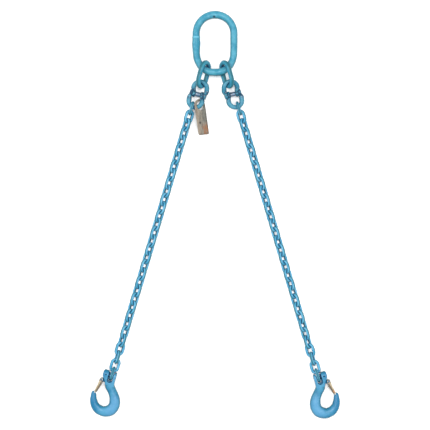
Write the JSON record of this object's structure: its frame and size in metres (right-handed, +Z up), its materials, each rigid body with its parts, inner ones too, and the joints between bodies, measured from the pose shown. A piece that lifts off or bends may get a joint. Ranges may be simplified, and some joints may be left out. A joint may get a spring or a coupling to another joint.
{
  "type": "two-leg chain sling",
  "caption": "Two-leg lifting sling laid flat: oblong master link, sub-links, coupling links, identity tag, short-link chain legs and clevis sling hooks with sprung latches.",
  "frame": {"origin": "centre of the sling's bounding box in X and Y, on the surface it lies on", "axes": "+Y from the hooks towards the master link, +X towards the right leg, +Z up from the surface"},
  "size_m": [0.689, 1.1244, 0.0506],
  "materials": {
    "identity_tag": "weathered stainless plate, brown stains",
    "left_chain_01": "semi-gloss light blue paint over forged or welded steel, a little worn",
    "left_chain_02": "semi-gloss light blue paint over forged or welded steel, a little worn",
    "left_chain_03": "semi-gloss light blue paint over forged or welded steel, a little worn",
    "left_chain_04": "semi-gloss light blue paint over forged or welded steel, a little worn",
    "left_chain_05": "semi-gloss light blue paint over forged or welded steel, a little worn",
    "left_chain_06": "semi-gloss light blue paint over forged or welded steel, a little worn",
    "left_chain_07": "semi-gloss light blue paint over forged or welded steel, a little worn",
    "left_chain_08": "semi-gloss light blue paint over forged or welded steel, a little worn",
    "left_chain_09": "semi-gloss light blue paint over forged or welded steel, a little worn",
    "left_chain_10": "semi-gloss light blue paint over forged or welded steel, a little worn",
    "left_chain_11": "semi-gloss light blue paint over forged or welded steel, a little worn",
    "left_chain_12": "semi-gloss light blue paint over forged or welded steel, a little worn",
    "left_chain_13": "semi-gloss light blue paint over forged or welded steel, a little worn",
    "left_chain_14": "semi-gloss light blue paint over forged or welded steel, a little worn",
    "left_chain_15": "semi-gloss light blue paint over forged or welded steel, a little worn",
    "left_chain_16": "semi-gloss light blue paint over forged or welded steel, a little worn",
    "left_chain_17": "semi-gloss light blue paint over forged or welded steel, a little worn",
    "left_coupling_lower_half": "semi-gloss light blue paint over forged or welded steel, a little worn",
    "left_coupling_pin": "plain alloy steel",
    "left_coupling_sleeve": "plain alloy steel",
    "left_coupling_upper_half": "semi-gloss light blue paint over forged or welded steel, a little worn",
    "left_hook": "semi-gloss light blue paint over forged or welded steel, a little worn",
    "left_hook_load_pin": "plain alloy steel",
    "left_hook_roll_pin": "plain alloy steel",
    "left_latch": "yellow zinc plated sheet",
    "left_latch_pin": "plain alloy steel",
    "left_latch_spring": "bright spring wire",
    "left_sub_link": "semi-gloss light blue paint over forged or welded steel, a little worn",
    "master_link": "semi-gloss light blue paint over forged or welded steel, a little worn",
    "right_chain_01": "semi-gloss light blue paint over forged or welded steel, a little worn",
    "right_chain_02": "semi-gloss light blue paint over forged or welded steel, a little worn",
    "right_chain_03": "semi-gloss light blue paint over forged or welded steel, a little worn",
    "right_chain_04": "semi-gloss light blue paint over forged or welded steel, a little worn",
    "right_chain_05": "semi-gloss light blue paint over forged or welded steel, a little worn",
    "right_chain_06": "semi-gloss light blue paint over forged or welded steel, a little worn",
    "right_chain_07": "semi-gloss light blue paint over forged or welded steel, a little worn",
    "right_chain_08": "semi-gloss light blue paint over forged or welded steel, a little worn",
    "right_chain_09": "semi-gloss light blue paint over forged or welded steel, a little worn",
    "right_chain_10": "semi-gloss light blue paint over forged or welded steel, a little worn",
    "right_chain_11": "semi-gloss light blue paint over forged or welded steel, a little worn",
    "right_chain_12": "semi-gloss light blue paint over forged or welded steel, a little worn",
    "right_chain_13": "semi-gloss light blue paint over forged or welded steel, a little worn",
    "right_chain_14": "semi-gloss light blue paint over forged or welded steel, a little worn",
    "right_chain_15": "semi-gloss light blue paint over forged or welded steel, a little worn",
    "right_chain_16": "semi-gloss light blue paint over forged or welded steel, a little worn",
    "right_chain_17": "semi-gloss light blue paint over forged or welded steel, a little worn",
    "right_coupling_lower_half": "semi-gloss light blue paint over forged or welded steel, a little worn",
    "right_coupling_pin": "plain alloy steel",
    "right_coupling_sleeve": "plain alloy steel",
    "right_coupling_upper_half": "semi-gloss light blue paint over forged or welded steel, a little worn",
    "right_hook": "semi-gloss light blue paint over forged or welded steel, a little worn",
    "right_hook_load_pin": "plain alloy steel",
    "right_hook_roll_pin": "plain alloy steel",
    "right_latch": "yellow zinc plated sheet",
    "right_latch_pin": "plain alloy steel",
    "right_latch_spring": "bright spring wire",
    "right_sub_link": "semi-gloss light blue paint over forged or welded steel, a little worn"
  },
  "bodies": {
    "master_link": {"master_link": "master_link"},
    "left_latch": {"left_latch": "left_latch"},
    "right_latch": {"right_latch": "right_latch"},
    "left_hook": {"left_hook": "left_hook", "left_hook_load_pin": "left_hook_load_pin", "left_hook_roll_pin": "left_hook_roll_pin", "left_latch_pin": "left_latch_pin", "left_latch_spring": "left_latch_spring"},
    "right_hook": {"right_hook": "right_hook", "right_hook_load_pin": "right_hook_load_pin", "right_hook_roll_pin": "right_hook_roll_pin", "right_latch_pin": "right_latch_pin", "right_latch_spring": "right_latch_spring"},
    "identity_tag": {"identity_tag": "identity_tag"},
    "left_coupling_lower": {"left_coupling_lower_half": "left_coupling_lower_half"},
    "right_coupling_lower": {"right_coupling_lower_half": "right_coupling_lower_half"},
    "left_coupling_upper": {"left_coupling_pin": "left_coupling_pin", "left_coupling_sleeve": "left_coupling_sleeve", "left_coupling_upper_half": "left_coupling_upper_half"},
    "right_coupling_upper": {"right_coupling_pin": "right_coupling_pin", "right_coupling_sleeve": "right_coupling_sleeve", "right_coupling_upper_half": "right_coupling_upper_half"},
    "left_sub_link": {"left_sub_link": "left_sub_link"},
    "right_sub_link": {"right_sub_link": "right_sub_link"},
    "left_chain_01": {"left_chain_01": "left_chain_01"},
    "left_chain_02": {"left_chain_02": "left_chain_02"},
    "left_chain_03": {"left_chain_03": "left_chain_03"},
    "left_chain_04": {"left_chain_04": "left_chain_04"},
    "left_chain_05": {"left_chain_05": "left_chain_05"},
    "left_chain_06": {"left_chain_06": "left_chain_06"},
    "left_chain_07": {"left_chain_07": "left_chain_07"},
    "left_chain_08": {"left_chain_08": "left_chain_08"},
    "left_chain_09": {"left_chain_09": "left_chain_09"},
    "left_chain_10": {"left_chain_10": "left_chain_10"},
    "left_chain_11": {"left_chain_11": "left_chain_11"},
    "left_chain_12": {"left_chain_12": "left_chain_12"},
    "left_chain_13": {"left_chain_13": "left_chain_13"},
    "left_chain_14": {"left_chain_14": "left_chain_14"},
    "left_chain_15": {"left_chain_15": "left_chain_15"},
    "left_chain_16": {"left_chain_16": "left_chain_16"},
    "left_chain_17": {"left_chain_17": "left_chain_17"},
    "right_chain_01": {"right_chain_01": "right_chain_01"},
    "right_chain_02": {"right_chain_02": "right_chain_02"},
    "right_chain_03": {"right_chain_03": "right_chain_03"},
    "right_chain_04": {"right_chain_04": "right_chain_04"},
    "right_chain_05": {"right_chain_05": "right_chain_05"},
    "right_chain_06": {"right_chain_06": "right_chain_06"},
    "right_chain_07": {"right_chain_07": "right_chain_07"},
    "right_chain_08": {"right_chain_08": "right_chain_08"},
    "right_chain_09": {"right_chain_09": "right_chain_09"},
    "right_chain_10": {"right_chain_10": "right_chain_10"},
    "right_chain_11": {"right_chain_11": "right_chain_11"},
    "right_chain_12": {"right_chain_12": "right_chain_12"},
    "right_chain_13": {"right_chain_13": "right_chain_13"},
    "right_chain_14": {"right_chain_14": "right_chain_14"},
    "right_chain_15": {"right_chain_15": "right_chain_15"},
    "right_chain_16": {"right_chain_16": "right_chain_16"},
    "right_chain_17": {"right_chain_17": "right_chain_17"}
  },
  "joints": [
    {"name": "left_latch_pivot", "type": "hinge", "parent": "left_hook", "child": "left_latch", "pos_m": [-0.31338, -0.45341, 0.0143], "axis": [0.0085, 0.0278, -0.9996], "range_deg": [-42, 0], "stiffness_Nm_per_rad": 0.04, "springref_deg": 20.05, "deforming": ["left_latch_spring"]},
    {"name": "right_latch_pivot", "type": "hinge", "parent": "right_hook", "child": "right_latch", "pos_m": [0.31338, -0.45856, 0.0143], "axis": [0.0085, -0.0278, 0.9996], "range_deg": [-42, 0], "stiffness_Nm_per_rad": 0.04, "springref_deg": 20.05, "deforming": ["right_latch_spring"]},
    {"name": "left_hook_pivot", "type": "hinge", "parent": "left_chain_17", "child": "left_hook", "pos_m": [-0.28494, -0.44454, 0.01479], "axis": [-0.9563, 0.2924, 0], "range_deg": [-90, 90]},
    {"name": "right_hook_pivot", "type": "hinge", "parent": "right_chain_17", "child": "right_hook", "pos_m": [0.28494, -0.4497, 0.01479], "axis": [0.9563, 0.2924, 0], "range_deg": [-90, 90]},
    {"name": "identity_tag_swing", "type": "hinge", "parent": "left_coupling_lower", "child": "identity_tag", "pos_m": [-0.04174, 0.30109, 0.01781], "axis": [0.868, -0.4965, -0.0021], "range_deg": [-100, 0]},
    {"name": "left_coupling_pin_pivot", "type": "hinge", "parent": "left_coupling_upper", "child": "left_coupling_lower", "pos_m": [-0.04679, 0.33218, 0.01575], "axis": [-0.9609, 0.2485, -0.1219], "range_deg": [-90, 90]},
    {"name": "right_coupling_pin_pivot", "type": "hinge", "parent": "right_coupling_upper", "child": "right_coupling_lower", "pos_m": [0.04902, 0.3327, 0.01546], "axis": [0.9651, 0.2317, -0.1219], "range_deg": [-90, 90]},
    {"name": "left_coupling_swing", "type": "hinge", "parent": "left_sub_link", "child": "left_coupling_upper", "pos_m": [-0.04045, 0.3545, 0.0256], "axis": [0.4535, -0.1215, -0.8829], "range_deg": [-45, 90]},
    {"name": "right_coupling_swing", "type": "hinge", "parent": "right_sub_link", "child": "right_coupling_upper", "pos_m": [0.04081, 0.3545, 0.0256], "axis": [0.4535, 0.1215, 0.8829], "range_deg": [-15, 90]},
    {"name": "left_sub_link_swing", "type": "hinge", "parent": "master_link", "child": "left_sub_link", "pos_m": [-0.02852, 0.39903, 0.0256], "axis": [0.8339, -0.5493, 0.0538], "range_deg": [-20, 90]},
    {"name": "right_sub_link_swing", "type": "hinge", "parent": "master_link", "child": "right_sub_link", "pos_m": [0.02888, 0.39903, 0.0256], "axis": [-0.8339, -0.5493, 0.0538], "range_deg": [-90, 20]},
    {"name": "left_chain_hinge_01", "type": "hinge", "parent": "left_coupling_lower", "child": "left_chain_01", "pos_m": [-0.06353, 0.29913, 0.01541], "axis": [0.8451, -0.5205, 0.1216], "range_deg": [-35, 60]},
    {"name": "left_chain_hinge_02", "type": "hinge", "parent": "left_chain_01", "child": "left_chain_02", "pos_m": [-0.07679, 0.25458, 0.01444], "axis": [-0.8124, 0.2105, 0.5438], "range_deg": [-25, 40]},
    {"name": "left_chain_hinge_03", "type": "hinge", "parent": "left_chain_02", "child": "left_chain_03", "pos_m": [-0.08777, 0.21771, 0.01181], "axis": [-0.6777, 0.2018, -0.7071], "range_deg": [-30, 60]},
    {"name": "left_chain_hinge_04", "type": "hinge", "parent": "left_chain_03", "child": "left_chain_04", "pos_m": [-0.10401, 0.16317, 0.01181], "axis": [0.6777, -0.2018, -0.7071], "range_deg": [-60, 60]},
    {"name": "left_chain_hinge_05", "type": "hinge", "parent": "left_chain_04", "child": "left_chain_05", "pos_m": [-0.115, 0.12624, 0.01181], "axis": [0.6777, -0.2018, 0.7071], "range_deg": [-60, 60]},
    {"name": "left_chain_hinge_06", "type": "hinge", "parent": "left_chain_05", "child": "left_chain_06", "pos_m": [-0.13124, 0.0717, 0.01181], "axis": [-0.6777, 0.2018, 0.7071], "range_deg": [-60, 60]},
    {"name": "left_chain_hinge_07", "type": "hinge", "parent": "left_chain_06", "child": "left_chain_07", "pos_m": [-0.14224, 0.03477, 0.01181], "axis": [-0.6777, 0.2018, -0.7071], "range_deg": [-60, 60]},
    {"name": "left_chain_hinge_08", "type": "hinge", "parent": "left_chain_07", "child": "left_chain_08", "pos_m": [-0.15848, -0.01977, 0.01181], "axis": [0.6777, -0.2018, -0.7071], "range_deg": [-60, 60]},
    {"name": "left_chain_hinge_09", "type": "hinge", "parent": "left_chain_08", "child": "left_chain_09", "pos_m": [-0.16947, -0.05671, 0.01181], "axis": [0.6777, -0.2018, 0.7071], "range_deg": [-60, 60]},
    {"name": "left_chain_hinge_10", "type": "hinge", "parent": "left_chain_09", "child": "left_chain_10", "pos_m": [-0.18571, -0.11124, 0.01181], "axis": [-0.6777, 0.2018, 0.7071], "range_deg": [-60, 60]},
    {"name": "left_chain_hinge_11", "type": "hinge", "parent": "left_chain_10", "child": "left_chain_11", "pos_m": [-0.19671, -0.14818, 0.01181], "axis": [-0.6777, 0.2018, -0.7071], "range_deg": [-60, 60]},
    {"name": "left_chain_hinge_12", "type": "hinge", "parent": "left_chain_11", "child": "left_chain_12", "pos_m": [-0.21294, -0.20271, 0.01181], "axis": [0.6777, -0.2018, -0.7071], "range_deg": [-60, 60]},
    {"name": "left_chain_hinge_13", "type": "hinge", "parent": "left_chain_12", "child": "left_chain_13", "pos_m": [-0.22394, -0.23965, 0.01181], "axis": [0.6777, -0.2018, 0.7071], "range_deg": [-60, 60]},
    {"name": "left_chain_hinge_14", "type": "hinge", "parent": "left_chain_13", "child": "left_chain_14", "pos_m": [-0.24018, -0.29418, 0.01181], "axis": [-0.6777, 0.2018, 0.7071], "range_deg": [-60, 60]},
    {"name": "left_chain_hinge_15", "type": "hinge", "parent": "left_chain_14", "child": "left_chain_15", "pos_m": [-0.25118, -0.33113, 0.01142], "axis": [-0.5729, 0.1355, -0.8083], "range_deg": [-30, 35]},
    {"name": "left_chain_hinge_16", "type": "hinge", "parent": "left_chain_15", "child": "left_chain_16", "pos_m": [-0.2674, -0.38562, 0.01379], "axis": [0.8512, -0.2634, -0.4539], "range_deg": [-30, 35]},
    {"name": "left_chain_hinge_17", "type": "hinge", "parent": "left_chain_16", "child": "left_chain_17", "pos_m": [-0.2784, -0.42254, 0.01479], "axis": [0, 0, 1], "range_deg": [-30, 30]},
    {"name": "right_chain_hinge_01", "type": "hinge", "parent": "right_coupling_lower", "child": "right_chain_01", "pos_m": [0.06434, 0.2989, 0.01524], "axis": [-0.8795, -0.4599, 0.1224], "range_deg": [-60, 60]},
    {"name": "right_chain_hinge_02", "type": "hinge", "parent": "right_chain_01", "child": "right_chain_02", "pos_m": [0.07748, 0.25431, 0.01427], "axis": [-0.8124, -0.2101, -0.5439], "range_deg": [-25, 40]},
    {"name": "right_chain_hinge_03", "type": "hinge", "parent": "right_chain_02", "child": "right_chain_03", "pos_m": [0.08851, 0.21686, 0.01179], "axis": [-0.6783, -0.1999, 0.7071], "range_deg": [-30, 60]},
    {"name": "right_chain_hinge_04", "type": "hinge", "parent": "right_chain_03", "child": "right_chain_04", "pos_m": [0.1046, 0.16228, 0.01179], "axis": [0.6783, 0.1999, 0.7071], "range_deg": [-60, 60]},
    {"name": "right_chain_hinge_05", "type": "hinge", "parent": "right_chain_04", "child": "right_chain_05", "pos_m": [0.11565, 0.12478, 0.01179], "axis": [0.6783, 0.1999, -0.7071], "range_deg": [-60, 60]},
    {"name": "right_chain_hinge_06", "type": "hinge", "parent": "right_chain_05", "child": "right_chain_06", "pos_m": [0.13173, 0.0702, 0.01179], "axis": [-0.6783, -0.1999, -0.7071], "range_deg": [-60, 60]},
    {"name": "right_chain_hinge_07", "type": "hinge", "parent": "right_chain_06", "child": "right_chain_07", "pos_m": [0.14279, 0.03269, 0.01179], "axis": [-0.6783, -0.1999, 0.7071], "range_deg": [-60, 60]},
    {"name": "right_chain_hinge_08", "type": "hinge", "parent": "right_chain_07", "child": "right_chain_08", "pos_m": [0.15887, -0.02189, 0.01179], "axis": [0.6783, 0.1999, 0.7071], "range_deg": [-60, 60]},
    {"name": "right_chain_hinge_09", "type": "hinge", "parent": "right_chain_08", "child": "right_chain_09", "pos_m": [0.16992, -0.05939, 0.01179], "axis": [0.6783, 0.1999, -0.7071], "range_deg": [-60, 60]},
    {"name": "right_chain_hinge_10", "type": "hinge", "parent": "right_chain_09", "child": "right_chain_10", "pos_m": [0.18601, -0.11397, 0.01179], "axis": [-0.6783, -0.1999, -0.7071], "range_deg": [-60, 60]},
    {"name": "right_chain_hinge_11", "type": "hinge", "parent": "right_chain_10", "child": "right_chain_11", "pos_m": [0.19706, -0.15148, 0.01179], "axis": [-0.6783, -0.1999, 0.7071], "range_deg": [-60, 60]},
    {"name": "right_chain_hinge_12", "type": "hinge", "parent": "right_chain_11", "child": "right_chain_12", "pos_m": [0.21315, -0.20606, 0.01179], "axis": [0.6783, 0.1999, 0.7071], "range_deg": [-60, 60]},
    {"name": "right_chain_hinge_13", "type": "hinge", "parent": "right_chain_12", "child": "right_chain_13", "pos_m": [0.2242, -0.24356, 0.01179], "axis": [0.6783, 0.1999, -0.7071], "range_deg": [-60, 60]},
    {"name": "right_chain_hinge_14", "type": "hinge", "parent": "right_chain_13", "child": "right_chain_14", "pos_m": [0.24028, -0.29814, 0.01179], "axis": [-0.6783, -0.1999, -0.7071], "range_deg": [-60, 60]},
    {"name": "right_chain_hinge_15", "type": "hinge", "parent": "right_chain_14", "child": "right_chain_15", "pos_m": [0.25134, -0.33565, 0.01142], "axis": [-0.5733, -0.1339, 0.8083], "range_deg": [-30, 35]},
    {"name": "right_chain_hinge_16", "type": "hinge", "parent": "right_chain_15", "child": "right_chain_16", "pos_m": [0.26741, -0.39019, 0.01379], "axis": [0.852, 0.261, 0.4539], "range_deg": [-30, 35]},
    {"name": "right_chain_hinge_17", "type": "hinge", "parent": "right_chain_16", "child": "right_chain_17", "pos_m": [0.27846, -0.42768, 0.01479], "axis": [0, 0, -1], "range_deg": [-30, 30]}
  ]
}
